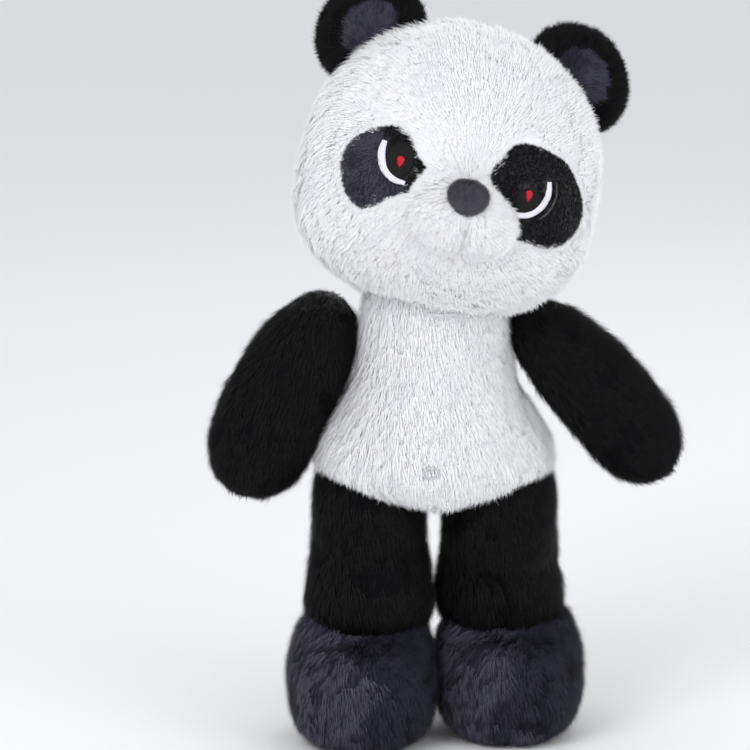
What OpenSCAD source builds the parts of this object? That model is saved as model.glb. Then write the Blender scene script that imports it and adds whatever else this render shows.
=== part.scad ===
// A stuffed panda toy that stands on its own two feet, with a turning head, swinging arms and legs,
// flexing feet and bending ears. The toy faces -Y. Left and right are the panda's own, so left is +X.
// Every stuffed part is a closed pouch of plush around its own stuffing. Where two parts meet and move,
// the meeting surfaces are turned about the joint's own axis, so they never touch.

/* [Body] */
// Widest part of the belly, side to side
belly_w = 150; // [110:1:200]
// Depth of the belly, front to back
belly_d = 130; // [90:1:200]
// Height from the hip axis up to the neck joint
torso_h = 132; // [110:1:180]
// Width of the neck where it goes into the head
neck_w = 92; // [70:1:110]

/* [Head] */
// Width of the round head, cheek to cheek
head_w = 188; // [150:1:240]
// Lean of the head towards its left ear, in degrees
head_lean = 14; // [0:1:20]
// Turn of the face to its left, in degrees
head_yaw = 6; // [0:0.5:20]
// Lift of the face, in degrees
head_lift = 10; // [0:1:15]
// How far the middle of the head sits to the left of the neck
head_side = 10; // [0:1:20]

/* [Face] */
// Half the distance between the irises
eye_half = 43; // [30:1:60]
// Drop of the irises below the middle of the head
eye_drop = 8; // [0:1:30]
// Size of the dark patch around the left eye, where 1 is 56 mm wide
patch_left = 1.1; // [0.7:0.05:1.4]
// Size of the dark patch around the right eye, where 1 is 56 mm wide
patch_right = 0.9; // [0.7:0.05:1.4]
// Width of the muzzle
muzzle_w = 70; // [50:1:100]
// Drop of the muzzle below the middle of the head
muzzle_drop = 32; // [20:1:50]
// Width of the nose
nose_w = 28; // [20:1:40]
// Thickness of one layer of felt or stitching on the face
felt = 1.2; // [0.8:0.1:2]

/* [Ears] */
// Radius of one ear
ear_r = 36; // [25:1:50]
// Thickness of one ear
ear_t = 27; // [18:1:36]
// Angle of each ear from the top of the head, in degrees
ear_angle = 46; // [30:1:60]

/* [Arms] */
// Length of one arm, shoulder to tip
arm_len = 146; // [110:1:190]
// Widest part of one arm
arm_w = 64; // [44:1:80]
// Angle between the hanging right arm and the vertical, in degrees
arm_hang_r = 27; // [20:1:45]
// Angle between the hanging left arm and the vertical, in degrees
arm_hang_l = 38; // [20:1:45]

/* [Legs] */
// Distance between the middles of the two legs
leg_span = 86; // [76:1:110]
// Thickness of one leg
leg_w = 71; // [50:1:84]
// Length from the hip axis to the ankle joint
leg_len = 56; // [55:1:110]
// Angle of each leg forward or back from the vertical, in degrees
stride = 10; // [0:1:15]

/* [Feet] */
// Width of one foot
foot_w = 92; // [70:1:100]
// Length of one foot, heel to toe
foot_l = 116; // [90:1:150]
// Height of one foot up to its ankle seam
foot_h = 86; // [60:1:110]

/* [Making] */
// Thickness of the plush with its backing
skin = 2.2; // [1.5:0.1:4]
// Gap between two parts that move against each other
gap = 0.4; // [0.3:0.1:1]

/* [Hidden] */
$fn = 64;
belly_r = belly_d / 2;
belly_out = (belly_w - belly_d) / 2;   // how far the two round ends of the belly are moved apart
head_r = head_w / 2;
foot_r = foot_w / 2;
foot_out = (foot_l - foot_w) / 2;      // how far the two round ends of a foot are moved apart
neck_r = neck_w / 2;
seat_gap = 0.15;                       // between two pieces that lie face to face
leg_r = leg_w / 2;
hip_r = leg_r * 1.4;                   // radius of the round top of a leg
ankle_r = leg_r - 1;
ankle_z = foot_h + 9;                  // the ankle joint is a little above the foot's seam
hip_z = ankle_z + leg_len * cos(stride);
neck_z = hip_z + torso_h;
crotch = max(3, (leg_span - leg_w) / 2 - 0.5);
head_rise = head_r + 2;
plane_tilt = 17;                       // lean of the flat sides that the arms turn on
plane_x = belly_w / 2 + 3;             // where those flat sides pass the widest belly
plane_z = hip_z + torso_h * 0.27;
shoulder_up = torso_h * 0.50;          // shoulder joint above the widest belly, along the flat side
arm_r = arm_w / 2;
stub_r = 25;                           // the sewn patch that an arm turns on
far = 600;                             // larger than the toy
ear_base_r = ear_t / 2 - 1;
ear_reach = head_r + 3.5;              // from the middle of the head to an ear's joint
ear_base_l = ear_r * 1.6;              // length of the rolled lower edge of an ear
foot_back = 12;                        // how far a foot's middle is in front of its leg
shift = [-8.882, 10.51, 0];              // puts the origin under the middle of the whole toy

// Height up the torso and radius there, as shares of torso_h and of the belly's radius
torso_line = [[-0.13, 0.50], [-0.10, 0.64], [-0.04, 0.78], [0.04, 0.89], [0.13, 0.96], [0.22, 0.995],
              [0.30, 1.0], [0.39, 0.97], [0.48, 0.91], [0.58, 0.83], [0.68, 0.745], [0.78, 0.67],
              [0.86, 0.62], [0.91, 0.60]];
// Distance along an arm and radius there, as shares of its length and of its half width
arm_line = [[0, 0.20], [0.02, 0.42], [0.06, 0.62], [0.13, 0.79], [0.23, 0.91], [0.36, 0.985], [0.50, 1.0],
            [0.64, 0.985], [0.76, 0.93], [0.86, 0.80], [0.93, 0.62], [0.975, 0.40], [1.0, 0.14]];
// Height up a foot and radius there, as shares of its height and of its half width
foot_line = [[0, 0.62], [0.025, 0.74], [0.08, 0.86], [0.17, 0.945], [0.30, 0.99], [0.45, 1.0], [0.62, 0.985],
             [0.78, 0.95], [0.90, 0.91], [1.0, 0.86]];
// Distance across the round top of a leg and radius there, as shares of its half width and of its radius
hip_line = [[-1, 0.42], [-0.96, 0.58], [-0.86, 0.74], [-0.70, 0.87], [-0.48, 0.955], [-0.22, 0.992], [0, 1],
            [0.22, 0.992], [0.48, 0.955], [0.70, 0.87], [0.86, 0.74], [0.96, 0.58], [1, 0.42]];

// ---------- helpers ----------
module turned_oval(rad, len, less) { // an oval turned about Z: radius rad, length len, made smaller by less
    steps = 9;
    rotate_extrude() polygon(concat([[0, -len / 2 + less]],
        [for (k = [1:2 * steps - 1]) let (a = 90 * (k - steps) / steps)
            [cos(a) * (rad - less), sin(a) * (len / 2 - less)]],
        [[0, len / 2 - less]]));
}
module oblong(points, out, long_y) { // a turned shape with its two halves moved apart by out each way
    rotate([0, 0, long_y ? 90 : 0]) {
        translate([out, 0, 0]) rotate([0, 0, -90]) rotate_extrude(angle = 180) polygon(points);
        translate([-out, 0, 0]) rotate([0, 0, 90]) rotate_extrude(angle = 180) polygon(points);
        translate([out, 0, 0]) rotate([90, 0, -90]) linear_extrude(2 * out) union() {
            polygon(points);
            mirror([1, 0]) polygon(points);
        }
    }
}
module half(side) { // everything on one side of x = 0
    translate([side > 0 ? 0 : -far, -far / 2, -far / 2]) cube([far, far, far]);
}
module front_half() { translate([-far / 2, -far, -far / 2]) cube([far, far, far]); }
module back_half() { translate([-far / 2, 0, -far / 2]) cube([far, far, far]); }

// ---------- torso ----------
function torso_points(less) = concat([[0, torso_line[0][0] * torso_h + less]],
    [for (p = torso_line) [p[1] * belly_r - less,
                           max(p[0] * torso_h, torso_line[0][0] * torso_h + less)
                           - (p == torso_line[len(torso_line) - 1] ? less : 0)]],
    [[0, torso_line[len(torso_line) - 1][0] * torso_h - less]]);
module shoulder_frame(side) { // origin at the shoulder joint, X straight out of the flat side
    translate([side * (plane_x - shoulder_up * sin(plane_tilt)), 0, plane_z + shoulder_up * cos(plane_tilt)])
        rotate([0, side > 0 ? -plane_tilt : plane_tilt, 0]) children();
}
module beyond_side(side, start) { // everything outside the flat side of the torso, from start outwards
    shoulder_frame(side) translate([side > 0 ? start : -far - start, -far / 2, -far / 2]) cube(far);
}
module hip_shape(side, more) { // the round top of a leg, turned about the hip axis
    translate([side * leg_span / 2, 0, hip_z]) rotate([0, 90, 0])
        rotate_extrude() polygon(concat([[0, -leg_r - more]],
            [for (p = hip_line) [p[1] * hip_r + more, p[0] * (leg_r + more)]], [[0, leg_r + more]]));
}
module torso_solid(less) {
    difference() {
        union() {
            translate([0, 0, hip_z]) oblong(torso_points(less), belly_out, false);
            translate([0, 0, neck_z]) sphere(r = neck_r - less);
            for (side = [-1, 1]) shoulder_frame(side)
                translate([side > 0 ? -belly_r * 0.5 : -less - seat_gap, 0, 0])
                    rotate([0, 90, 0]) translate([0, 0, side > 0 ? 0 : less])
                        cylinder(r = stub_r - less, h = belly_r * 0.5 - less);
        }
        for (side = [-1, 1]) {
            beyond_side(side, -less);
            hip_shape(side, gap + less);
            // room for a raised leg under the belly, and for a leg that swings back
            translate([side > 0 ? crotch - less : -far - crotch + less, -far, hip_z - far + hip_r * 0.45 + less])
                cube([far, far, far]);
            translate([side > 0 ? crotch - less : -far - crotch + less, 0, hip_z - far + hip_r * 0.25 + less])
                cube([far, far, far]);
        }
        // the top of the neck is cut off flat inside the head
        translate([-far / 2, -far / 2, neck_z + neck_r * 0.6 - less]) cube(far);
    }
}
module torso_skin() { difference() { torso_solid(0); torso_solid(skin); } }
module torso_front() { color("white") intersection() { torso_skin(); front_half(); } }
module torso_back() { color("white") intersection() { torso_skin(); back_half(); } }
module torso_stuffing() { color("ivory") torso_solid(skin + seat_gap); }
module navel_stitching() { // a small ring of thread low on the belly
    color("silver") translate([0, -belly_r - 0.95, hip_z + torso_h * 0.24]) rotate([90, 0, 0])
        rotate_extrude() translate([4.5, 0]) circle(r = 0.8);
}
module neck_stitching() { // the ring of thread between body and head, part of a ball about the neck joint
    color("white") translate([0, 0, neck_z]) difference() {
        sphere(r = neck_r + gap + 2);
        sphere(r = neck_r + gap);
        translate([-far / 2, -far / 2, neck_r * 0.5]) cube(far);
        translate([-far / 2, -far / 2, neck_r * 0.14 - far]) cube(far);
    }
}

// ---------- head ----------
module head_middle() { translate([head_side, 0, neck_z + head_rise]) children(); }
module at_head() { // origin in the middle of the head, face towards -Y
    head_middle() rotate([0, head_lean, 0]) rotate([0, 0, head_yaw]) rotate([-head_lift, 0, 0]) children();
}
module at_ear(side) { // origin on the ear's joint, Z straight away from the head, X along the joint
    at_head() translate([0, 8, 0]) rotate([0, side * ear_angle, 0])
        translate([0, 0, ear_reach]) children();
}
module ear_base(more) { // the rolled lower edge of an ear, turned about its joint
    rotate([0, 90, 0]) cylinder(r = ear_base_r + more, h = ear_base_l + 2 * more, center = true);
}
module head_room(less) { // the hollow for the neck ball and the seats of the two ears
    translate([0, 0, neck_z]) sphere(r = neck_r + 2 + 2 * gap + less);
    for (side = [-1, 1]) at_ear(side) ear_base(gap + less);
}
module head_solid(less) {
    difference() { head_middle() sphere(r = head_r - less); head_room(less); }
}
module turned_head_solid(less) { // the same ball, with its poles turned with the face
    difference() { at_head() sphere(r = head_r - less); head_room(less); }
}
module head_front() {
    color("white") intersection() { difference() { head_solid(0); head_solid(skin); } at_head() front_half(); }
}
module head_back() {
    color("white") intersection() {
        difference() { turned_head_solid(0); turned_head_solid(skin); }
        at_head() back_half();
    }
}
module head_stuffing() { color("ivory") head_solid(skin + seat_gap); }
muzzle_y = sqrt(pow(head_r, 2) - pow(muzzle_drop, 2));
module muzzle_solid(more) {
    translate([0, -muzzle_y + 3, -muzzle_drop]) rotate([0, 90, 0]) turned_oval(muzzle_w * 0.35, muzzle_w, -more);
}
module muzzle() { color("white") at_head() difference() { muzzle_solid(0); sphere(r = head_r + seat_gap); } }
module nose() {
    color("dimgray") at_head() difference() {
        translate([0, -muzzle_y - muzzle_w * 0.17, -muzzle_drop + muzzle_w * 0.22]) turned_oval(nose_w / 2, nose_w * 0.88, 0);
        muzzle_solid(seat_gap);
        sphere(r = head_r + seat_gap);
    }
}
// Eye shapes are flat outlines around the iris, in mm, with X away from the nose and Y up
patch_line = [[-15, 8], [-10, 20], [-4, 26], [8, 27], [20, 23], [30, 15], [37, 3], [39, -10], [35, -22], [26, -30],
              [14, -34], [2, -33], [-4, -27], [-5, -21], [-13, -14], [-17, -6]];
white_line = [[11, 9], [11.5, 3], [9.5, -5], [5, -10.5], [-2, -13], [-2, -16], [6.5, -13.5], [12.5, -7],
              [15, 2], [14.5, 10]];
glint_line = [[-2, 2.5], [0.3, 3.2], [2.2, 2.2], [1.6, -1], [0.2, -3.6], [-1.2, -1.2]];
module on_face(side, low, high) { // the part of a flat outline's shadow that lies in one layer on the face
    at_head() intersection() {
        difference() {
            sphere(r = head_r + high - seat_gap);
            sphere(r = head_r + low);
        }
        translate([side * eye_half, 0, -eye_drop]) rotate([90, 0, 0]) linear_extrude(far)
            scale([side * eye_half / 43, eye_half / 43]) children();
    }
}
module eye_patch(side) {
    size = side > 0 ? patch_left : patch_right;
    color("black") difference() {
        on_face(side, seat_gap, felt) scale([size, size]) polygon(patch_line);
        at_head() muzzle_solid(seat_gap);
    }
}
module eye_white(side) { color("white") on_face(side, felt, 1.6 * felt) polygon(white_line); }
module iris(side) { color("black") on_face(side, felt, 1.6 * felt) difference() { circle(r = 8.5); translate([-20, 7.2]) square([40, 10]); } }
module eye_glint(side) { color("crimson") on_face(side, 1.6 * felt, 2.1 * felt) polygon(glint_line); }

// ---------- ears ----------
module ear_solid(side, less) {
    intersection() {
        union() {
            rotate([90, 0, 0]) turned_oval(ear_r, ear_t, less);
            ear_base(-less);
        }
        union() {
            translate([-far / 2, -far / 2, less]) cube(far);
            ear_base(-less);
        }
    }
}
module ear_skin(side) { difference() { ear_solid(side, 0); ear_solid(side, skin); } }
module ear_window(side) { // the grey inner ear, an oval on the front
    rotate([90, 0, 0]) translate([0, 0, 0.5]) linear_extrude(far) translate([0, ear_r * 0.42]) scale([1, 0.8]) circle(r = ear_r * 0.62);
}
module ear_front(side) { color("dimgray") at_ear(side) intersection() { ear_skin(side); ear_window(side); } }
module ear_back(side) { color("black") at_ear(side) difference() { ear_skin(side); ear_window(side); } }
module ear_stuffing(side) { color("ivory") at_ear(side) ear_solid(side, skin + seat_gap); }

// ---------- arms ----------
module arm_solid(side, less) {
    hang = side > 0 ? arm_hang_l : arm_hang_r;
    difference() {
        translate([side * (plane_x - 0.86 * shoulder_up * sin(plane_tilt)), 0, neck_z - 10])
            rotate([0, side > 0 ? 180 - hang : 180 + hang, 0]) translate([0, 0, -arm_len * 0.07])
                rotate_extrude() polygon(concat([[0, less]],
                    [for (p = arm_line) [max(p[1] * arm_r - less, 0.4), p[0] * (arm_len - 2 * less) + less]],
                    [[0, arm_len - less]]));
        difference() { cube(2 * far, center = true); beyond_side(side, gap + less); }
    }
}
module arm_skin(side) { difference() { arm_solid(side, 0); arm_solid(side, skin); } }
module arm_front(side) { color("black") intersection() { arm_skin(side); front_half(); } }
module arm_back(side) { color("black") intersection() { arm_skin(side); back_half(); } }
module arm_stuffing(side) { color("ivory") arm_solid(side, skin + seat_gap); }

// ---------- legs ----------
swing = function(side) side > 0 ? stride : -stride;   // the right leg is the one in front
module at_leg(side) { // origin at the ankle, Z up the leg
    translate([side * leg_span / 2, 0, hip_z]) rotate([swing(side), 0, 0]) translate([0, 0, -leg_len]) children();
}
module leg_solid(side, less) {
    hip_shape(side, -less);
    at_leg(side) {
        cylinder(r = ankle_r - less, h = leg_len);
        sphere(r = ankle_r - less);
    }
}
module leg_skin(side) { difference() { leg_solid(side, 0); leg_solid(side, skin); } }
module leg_outer(side) { color("black") intersection() { leg_skin(side); translate([side * leg_span / 2, 0, 0]) half(side); } }
module leg_inner(side) { color("black") intersection() { leg_skin(side); translate([side * leg_span / 2, 0, 0]) half(-side); } }
module leg_stuffing(side) { color("ivory") leg_solid(side, skin + seat_gap); }

// ---------- feet ----------
module at_foot(side) { // origin under the ankle, on the floor
    translate([side * (foot_r + 0.8), leg_len * sin(swing(side)), 0]) children();
}
module foot_outside(less) {
    translate([0, -foot_back, 0]) oblong(concat([[0, less]],
        [for (p = foot_line) if (p[0] == 0 || p[0] * foot_h > less + 0.5)
            [p[1] * foot_r - less, p[0] == 0 ? less : p[0] * foot_h - (p[0] == 1 ? less : 0)]],
        [[0, foot_h - less]]), foot_out, true);
}
module foot_solid(side, less) {
    difference() {
        at_foot(side) foot_outside(less);
        translate([side * leg_span / 2, leg_len * sin(swing(side)), ankle_z]) sphere(r = ankle_r + gap + less);
    }
}
module sole_disc(side) { // the flat sole, as wide as the flat of the foot's underside
    at_foot(side) translate([0, -foot_back, 0])
        oblong([[0, 0], [foot_line[0][1] * foot_r, 0], [foot_line[0][1] * foot_r, skin], [0, skin]], foot_out, true);
}
module foot_skin(side) { difference() { foot_solid(side, 0); foot_solid(side, skin); sole_disc(side); } }
module foot_outer(side) { color("dimgray") intersection() { foot_skin(side); at_foot(side) half(side); } }
module foot_inner(side) { color("dimgray") intersection() { foot_skin(side); at_foot(side) half(-side); } }
module sole(side) {
    color("gray") at_foot(side) translate([0, -foot_back, 0]) oblong([[0, 0], [foot_line[0][1] * foot_r - seat_gap, 0],
        [foot_line[0][1] * foot_r - seat_gap, skin - seat_gap], [0, skin - seat_gap]], foot_out, true);
}
module foot_stuffing(side) { color("ivory") foot_solid(side, skin + seat_gap); }

// ---------- the toy ----------
translate(shift) {
    head_front();
    head_back();
    head_stuffing();
    muzzle();
    nose();
    eye_patch(1);  // eye_patch_left
    eye_patch(-1);  // eye_patch_right
    iris(1);  // iris_left
    iris(-1);  // iris_right
    eye_white(1);  // eye_white_left
    eye_white(-1);  // eye_white_right
    eye_glint(1);  // eye_glint_left
    eye_glint(-1);  // eye_glint_right
    ear_back(1);  // ear_back_left
    ear_front(1);  // ear_front_left
    ear_stuffing(1);  // ear_stuffing_left
    ear_back(-1);  // ear_back_right
    ear_front(-1);  // ear_front_right
    ear_stuffing(-1);  // ear_stuffing_right
    neck_stitching();
    torso_front();
    torso_back();
    torso_stuffing();
    navel_stitching();
    arm_front(1);  // arm_front_left
    arm_back(1);  // arm_back_left
    arm_stuffing(1);  // arm_stuffing_left
    arm_front(-1);  // arm_front_right
    arm_back(-1);  // arm_back_right
    arm_stuffing(-1);  // arm_stuffing_right
    leg_outer(1);  // leg_outer_left
    leg_inner(1);  // leg_inner_left
    leg_stuffing(1);  // leg_stuffing_left
    leg_outer(-1);  // leg_outer_right
    leg_inner(-1);  // leg_inner_right
    leg_stuffing(-1);  // leg_stuffing_right
    foot_outer(1);  // foot_outer_left
    foot_inner(1);  // foot_inner_left
    sole(1);  // sole_left
    foot_stuffing(1);  // foot_stuffing_left
    foot_outer(-1);  // foot_outer_right
    foot_inner(-1);  // foot_inner_right
    sole(-1);  // sole_right
    foot_stuffing(-1);  // foot_stuffing_right
}
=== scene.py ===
# %% [markdown]
# # A plush panda, from skins to fur
# A stuffed toy is a set of sewn bags of fur fabric, filled with fibre. Each bag is modelled here twice: once
# as a smooth skin, which gives the shape, and once as pile, the short hairs that give the look. The solids
# loaded first set every size and every joint, and all the pieces made here ride on them.

# %% Load the solids that everything is built on
import math

import bmesh
import bpy
import numpy as np
from mathutils import Matrix, Vector, noise
from mathutils.bvhtree import BVHTree


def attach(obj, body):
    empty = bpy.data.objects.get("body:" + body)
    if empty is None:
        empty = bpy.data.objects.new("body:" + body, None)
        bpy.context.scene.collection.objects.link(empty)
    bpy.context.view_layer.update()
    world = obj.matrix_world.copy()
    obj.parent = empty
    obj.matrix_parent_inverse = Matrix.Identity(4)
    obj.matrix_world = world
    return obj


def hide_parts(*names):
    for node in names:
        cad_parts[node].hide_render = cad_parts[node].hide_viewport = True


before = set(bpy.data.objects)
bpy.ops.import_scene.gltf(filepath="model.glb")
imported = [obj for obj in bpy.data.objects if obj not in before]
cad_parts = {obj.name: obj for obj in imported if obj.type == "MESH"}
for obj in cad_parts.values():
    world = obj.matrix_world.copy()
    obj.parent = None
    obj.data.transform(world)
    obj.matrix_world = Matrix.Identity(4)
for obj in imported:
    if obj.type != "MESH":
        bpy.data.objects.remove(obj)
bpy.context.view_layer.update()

# %% [markdown]
# ## Camera
# The toy is seen from a little above, through a long lens so that the near foot does not swell. The
# camera stands three metres away and looks down by twelve degrees.

# %% Camera
LOOK_DOWN = math.radians(12)
CAMERA_FAR = 3.0
LOOK_AT = Vector((-0.048, 0.0105, 0.241))
camera = bpy.data.objects.new("camera", bpy.data.cameras.new("camera"))
camera.data.lens = 219
camera.data.sensor_width = 36
camera.location = LOOK_AT + Vector((0, -math.cos(LOOK_DOWN), math.sin(LOOK_DOWN))) * CAMERA_FAR
camera.rotation_euler = (math.pi / 2 - LOOK_DOWN, 0, 0)
bpy.context.scene.collection.objects.link(camera)
bpy.context.scene.camera = camera
print("camera at", [round(c, 3) for c in camera.location])

# %% [markdown]
# ## Floor and light
# A plain pale floor that runs out of sight keeps the outline clear from every side, so the back can be looked
# at too. One large lamp to the side and above models the round shapes, a weaker one fills the other side, and
# the world lifts the shadows. The camera alone sees a lighter sky than the one that lights the toy.

# %% Floor and lamps
def plain_paint(name, colour, rough=0.9):
    paint = bpy.data.materials.new(name)
    paint.use_nodes = True
    shader = paint.node_tree.nodes["Principled BSDF"]
    shader.inputs["Base Color"].default_value = (*colour, 1)
    shader.inputs["Roughness"].default_value = rough
    return paint


sweep = bmesh.new()
bmesh.ops.create_circle(sweep, segments=64, radius=40, cap_ends=True)
floor_mesh = bpy.data.meshes.new("floor")
sweep.to_mesh(floor_mesh)
sweep.free()
floor = bpy.data.objects.new("floor", floor_mesh)
bpy.context.scene.collection.objects.link(floor)
floor_mesh.materials.append(plain_paint("pale_floor", (0.93, 0.93, 0.932)))
for face in floor_mesh.polygons:
    face.use_smooth = True


def soft_lamp(name, place, towards, size, watts, tint=(1, 1, 1)):
    lamp = bpy.data.objects.new(name, bpy.data.lights.new(name, "AREA"))
    lamp.data.size = size
    lamp.data.energy = watts
    lamp.data.color = tint
    lamp.location = place
    lamp.rotation_euler = (Vector(towards) - Vector(place)).to_track_quat("-Z", "Y").to_euler()
    bpy.context.scene.collection.objects.link(lamp)


soft_lamp("key", (-1.1, -1.5, 1.5), (0, 0, 0.25), 1.0, 17.5)
soft_lamp("fill", (1.5, -1.3, 0.8), (0, 0, 0.25), 1.2, 11)
soft_lamp("rim", (0.6, 1.3, 1.4), (0, 0, 0.3), 0.8, 4)
world = bpy.data.worlds.new("studio")
bpy.context.scene.world = world
world.use_nodes = True
world.node_tree.nodes["Background"].inputs["Color"].default_value = (0.955, 0.965, 1.0, 1)
sky_nodes, sky_links = world.node_tree.nodes, world.node_tree.links
sky_nodes["Background"].inputs["Strength"].default_value = 0.76
seen_sky, sky_choice, ray = (sky_nodes.new(kind) for kind in ("ShaderNodeBackground", "ShaderNodeMixShader",
                                                              "ShaderNodeLightPath"))
seen_sky.inputs["Color"].default_value = (0.90, 0.905, 0.92, 1)
sky_links.new(ray.outputs["Is Camera Ray"], sky_choice.inputs[0])
sky_links.new(sky_nodes["Background"].outputs[0], sky_choice.inputs[1])
sky_links.new(seen_sky.outputs[0], sky_choice.inputs[2])
sky_links.new(sky_choice.outputs[0], sky_nodes["World Output"].inputs["Surface"])
bpy.context.scene.view_settings.view_transform = "Standard"
print("lamps and paper ready")

# %% [markdown]
# ## Where the parts sit
# The head leans to its left, turns a little the same way and lifts its face. Each part is modelled upright
# around its own middle and then put in place with one matrix, so the numbers stay easy to read. All lengths
# below are in millimetres and become metres when a piece is finished.

# %% Places of the parts, in millimetres
def turn(degrees, axis):
    return Matrix.Rotation(math.radians(degrees), 4, axis)


MIDDLE = Vector((-8.9, 10.5, 0))
HIP_HEIGHT = 150.1
LEG_SPREAD = 43
LEG_LENGTH = 56
STRIDE = 10
ANKLE_HEIGHT = 95
HEAD = Matrix.Translation((1.1, 10.5, 378)) @ turn(14, "Y") @ turn(6, "Z") @ turn(-10, "X")
SIDES = {"left": 1, "right": -1}


def ear_place(side):
    return HEAD @ Matrix.Translation((0, 8, 0)) @ turn(side * 46, "Y") @ Matrix.Translation((-6 * side, 0, 97.5))


def leg_place(side):
    return Matrix.Translation(MIDDLE + Vector((side * LEG_SPREAD, 0, HIP_HEIGHT))) @ turn(side * STRIDE, "X")


def foot_place(side):
    step = LEG_LENGTH * math.sin(math.radians(side * STRIDE))
    return Matrix.Translation(MIDDLE + Vector((side * 47 + 1, step - 12, 0)))


print("head stands", round(HEAD.translation.z), "mm up")

# %% [markdown]
# ## A bag from a sphere
# A stuffed bag is round, closed and has no corners. A sphere already has rings from pole to pole, so each
# ring is moved to a height and given a width and a depth. The sizes are listed at a few heights and a smooth
# curve runs between them, which is quicker to shape than carving, and it keeps the poles closed.

# %% Shape a sphere into a bag
def smooth_rows(rows, steps=24):
    """More rows between the given ones, on a curve that passes through each of them."""
    rows = np.array(rows, float)
    padded = np.vstack([2 * rows[0] - rows[1], rows, 2 * rows[-1] - rows[-2]])
    out = []
    for k in range(len(rows) - 1):
        a, b, c, d = padded[k:k + 4]
        for t in np.linspace(0, 1, steps, endpoint=False):
            out.append(0.5 * (2 * b + (c - a) * t + (2 * a - 5 * b + 4 * c - d) * t * t
                              + (3 * b - a - 3 * c + d) * t ** 3))
    return np.array(out + [rows[-1]])


def bag(rows, around=72, rings=56, boxy=2.0):
    """Rows are (height, width, depth, side shift, depth shift), half sizes, from the top down."""
    fine = smooth_rows([tuple(r) + (0,) * (5 - len(r)) for r in rows])
    run = np.concatenate([[0], np.cumsum(np.hypot(np.diff(fine[:, 0]), np.diff(fine[:, 1])))])
    run /= run[-1]
    bm = bmesh.new()
    bmesh.ops.create_uvsphere(bm, u_segments=around, v_segments=rings, radius=1)
    for v in bm.verts:
        t = math.acos(max(-1, min(1, v.co.z))) / math.pi
        z, wide, deep, aside, back = [np.interp(t, run, fine[:, k]) for k in range(5)]
        a = math.atan2(v.co.y, v.co.x)
        c, s = math.cos(a), math.sin(a)
        grow = (abs(c) ** boxy + abs(s) ** boxy) ** (-1 / boxy)
        v.co = Vector((aside + max(wide, 0) * c * grow, back + max(deep, 0) * s * grow, z))
    return bm


def finish_piece(name, bm, place, material, smooth_steps=0):
    """Puts a shape in place, turns millimetres into metres and makes the object."""
    for _ in range(smooth_steps):
        bmesh.ops.smooth_vert(bm, verts=bm.verts, factor=0.5, use_axis_x=True, use_axis_y=True, use_axis_z=True)
    bmesh.ops.transform(bm, matrix=Matrix.Scale(0.001, 4) @ place, verts=bm.verts)
    bmesh.ops.recalc_face_normals(bm, faces=bm.faces)
    mesh = bpy.data.meshes.new(name)
    bm.to_mesh(mesh)
    bm.free()
    for face in mesh.polygons:
        face.use_smooth = True
    if material:
        mesh.materials.append(material)
    piece = bpy.data.objects.new(name, mesh)
    bpy.context.scene.collection.objects.link(piece)
    return piece


print("bag maker ready")

# %% [markdown]
# ## Cloth under the pile
# Between the hairs the knitted backing shows as a slightly darker, mottled ground. Two noises mix two close
# shades and lift a fine bump, and sheen gives the soft bright edge that short fibres have.

# %% Backing cloth material
def backing(name, dark, light, blotch=60, sheen=0.3):
    cloth = bpy.data.materials.new(name)
    cloth.use_nodes = True
    nodes, links = cloth.node_tree.nodes, cloth.node_tree.links
    shader = nodes["Principled BSDF"]
    where = nodes.new("ShaderNodeTexCoord")
    patches, grain = nodes.new("ShaderNodeTexNoise"), nodes.new("ShaderNodeTexNoise")
    patches.inputs["Scale"].default_value = blotch
    grain.inputs["Scale"].default_value = 900
    mix, bump = nodes.new("ShaderNodeMix"), nodes.new("ShaderNodeBump")
    mix.data_type = "RGBA"
    mix.inputs["A"].default_value, mix.inputs["B"].default_value = (*dark, 1), (*light, 1)
    bump.inputs["Strength"].default_value = 0.5
    bump.inputs["Distance"].default_value = 0.001
    for texture in (patches, grain):
        links.new(where.outputs["Object"], texture.inputs["Vector"])
    links.new(patches.outputs["Fac"], mix.inputs["Factor"])
    links.new(mix.outputs["Result"], shader.inputs["Base Color"])
    links.new(grain.outputs["Fac"], bump.inputs["Height"])
    links.new(bump.outputs["Normal"], shader.inputs["Normal"])
    shader.inputs["Roughness"].default_value = 0.92
    shader.inputs["Sheen Weight"].default_value = sheen
    return cloth


def hair(name, colour, sheen=0.25, tint=(1, 1, 1), rough=0.75):
    """One even shade for one kind of blade; a pile mixes several of these."""
    shade = plain_paint(name, colour, rough)
    shader = shade.node_tree.nodes["Principled BSDF"]
    shader.inputs["Sheen Weight"].default_value = sheen
    shader.inputs["Sheen Roughness"].default_value = 0.5
    shader.inputs["Sheen Tint"].default_value = (*tint, 1)
    shader.inputs["Specular IOR Level"].default_value = 0.12
    return shade


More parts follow.
